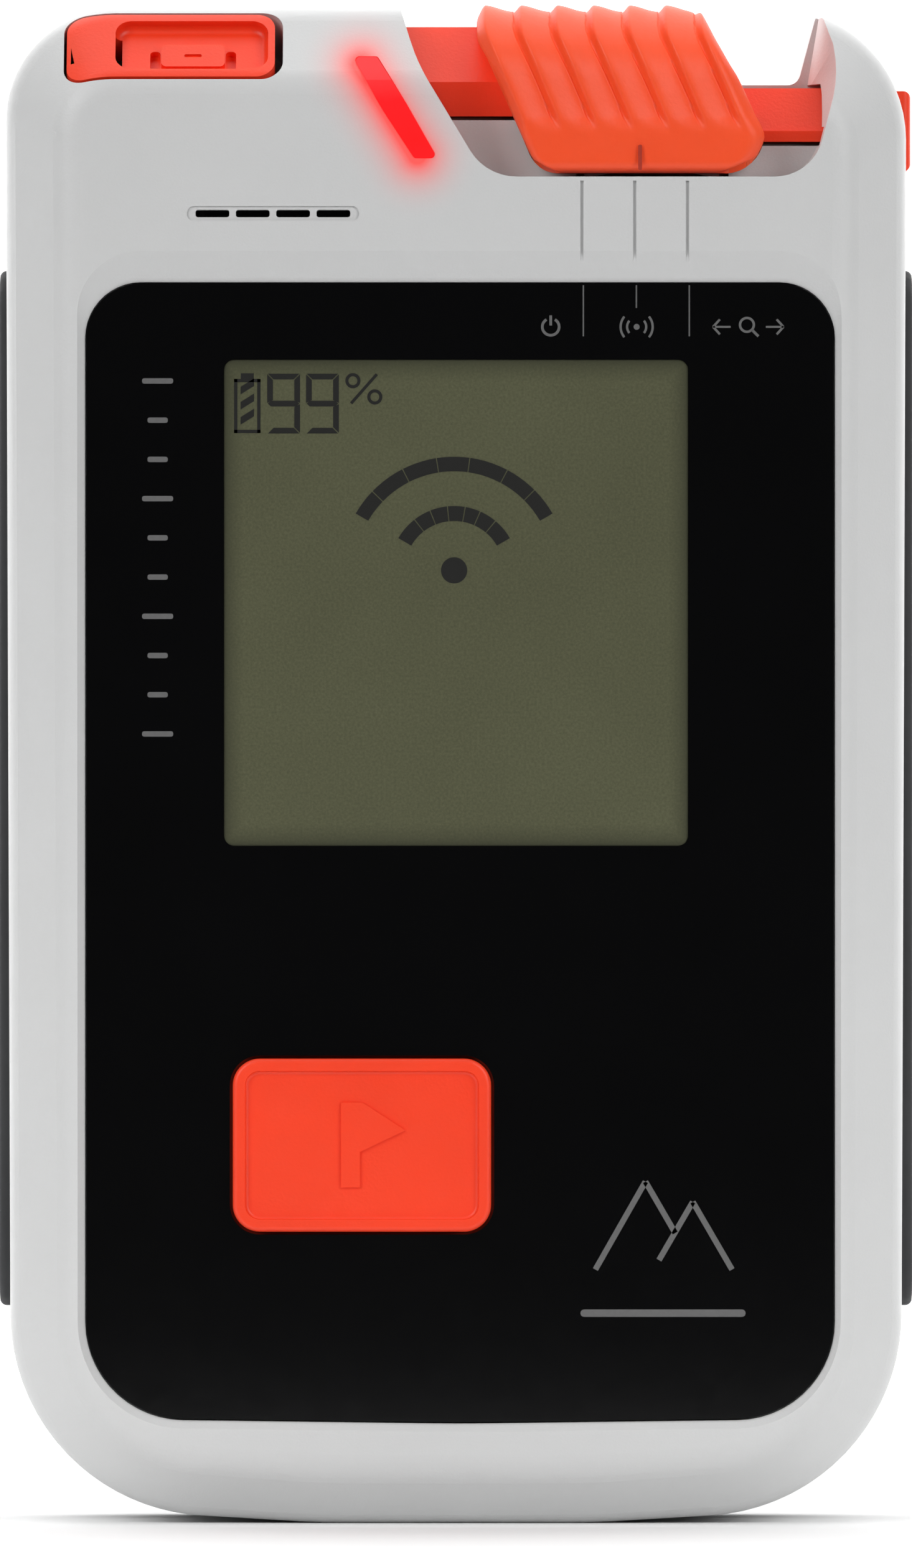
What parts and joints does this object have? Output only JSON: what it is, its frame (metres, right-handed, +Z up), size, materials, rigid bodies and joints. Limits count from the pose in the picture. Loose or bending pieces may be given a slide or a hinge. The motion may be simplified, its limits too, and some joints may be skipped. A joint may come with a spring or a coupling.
{
  "type": "avalanche transceiver",
  "caption": "Flat hand-held avalanche transceiver with a display window, a marker button, a ribbed mode slider in a notch of the head and a rear battery door.",
  "frame": {"origin": "middle of the case's base, at the middle of its depth", "axes": "+Z up along the case's length, display faces -Y, +X to the right of a person who reads the display"},
  "size_m": [0.0679, 0.0254, 0.1125],
  "materials": {
    "shell_white": "fine satin texture",
    "shell_grey": "fine matt texture",
    "window_black": "polished",
    "display_olive": "polished, grainy",
    "orange_plastic": "satin",
    "orange_grip": "satin, ribbed",
    "lens_red": "clear red, lit",
    "grip_rubber": "fine grain",
    "seal_rubber": "matt",
    "inner_plastic": "matt",
    "board_green": "solder mask",
    "chip_black": "matt",
    "steel": "zinc plated",
    "nickel": "nickel plated",
    "copper": "enamelled wire",
    "ferrite": "sintered",
    "mesh_black": "fine membrane",
    "cell_jacket": "printed jacket"
  },
  "bodies": {
    "root": {"front_housing": "shell_white", "rear_housing": "shell_grey", "housing_seal": "seal_rubber", "display_window": "window_black", "lcd_glass": "display_olive", "backlight_plate": "inner_plastic", "display_frame": "inner_plastic", "main_board": "board_green", "board_chips": "chip_black", "board_screws": "steel", "tact_switch": "chip_black", "button_seal": "seal_rubber", "detent_spring": "steel", "hall_sensors": "chip_black", "lock_pin": "steel", "lock_spring": "steel", "led_lens": "lens_red", "status_led": "lens_red", "speaker_mesh": "mesh_black", "speaker": "chip_black", "long_antenna": "ferrite", "cross_antenna": "ferrite", "short_antenna": "ferrite", "antenna_coils": "copper", "battery_1": "cell_jacket", "battery_2": "cell_jacket", "battery_3": "cell_jacket", "battery_contacts": "nickel", "contact_springs": "nickel", "cover_pin": "steel", "housing_screws": "steel", "leash_eyelet": "orange_plastic", "side_grip_left": "grip_rubber", "side_grip_right": "grip_rubber", "vibration_motor": "steel"},
    "mode_slide": {"slider_grip": "orange_grip", "slider_carriage": "orange_plastic", "slider_magnet": "nickel"},
    "marker_key": {"marker_button": "orange_plastic", "switch_stem": "inner_plastic"},
    "lock_lever": {"lock_button": "orange_plastic"},
    "battery_door": {"battery_cover": "shell_grey", "cover_seal": "seal_rubber"},
    "door_lock": {"coin_lock": "orange_plastic", "coin_washer": "seal_rubber"}
  },
  "joints": [
    {"name": "mode_switch", "type": "slide", "parent": "root", "child": "mode_slide", "axis": [1, 0, 0], "range_m": [-0.0039, 0.0039], "deforming": ["detent_spring"]},
    {"name": "marker_press", "type": "slide", "parent": "root", "child": "marker_key", "axis": [0, 1, 0], "range_m": [0, 0.0006], "stiffness_N_per_m": 1000, "springref_m": -0.0003},
    {"name": "lock_press", "type": "hinge", "parent": "root", "child": "lock_lever", "pos_m": [-0.0266, -0.00858, 0.10812], "axis": [0, 0.6332, 0.774], "range_deg": [0, 5], "stiffness_Nm_per_rad": 0.03, "springref_deg": -2.86},
    {"name": "door_hinge", "type": "hinge", "parent": "root", "child": "battery_door", "pos_m": [0, 0.0109, 0.0665], "axis": [1, 0, 0], "range_deg": [0, 100]},
    {"name": "coin_turn", "type": "hinge", "parent": "battery_door", "child": "door_lock", "pos_m": [0, 0.0125, 0.0086], "axis": [0, 1, 0], "range_deg": [0, 90]}
  ]
}
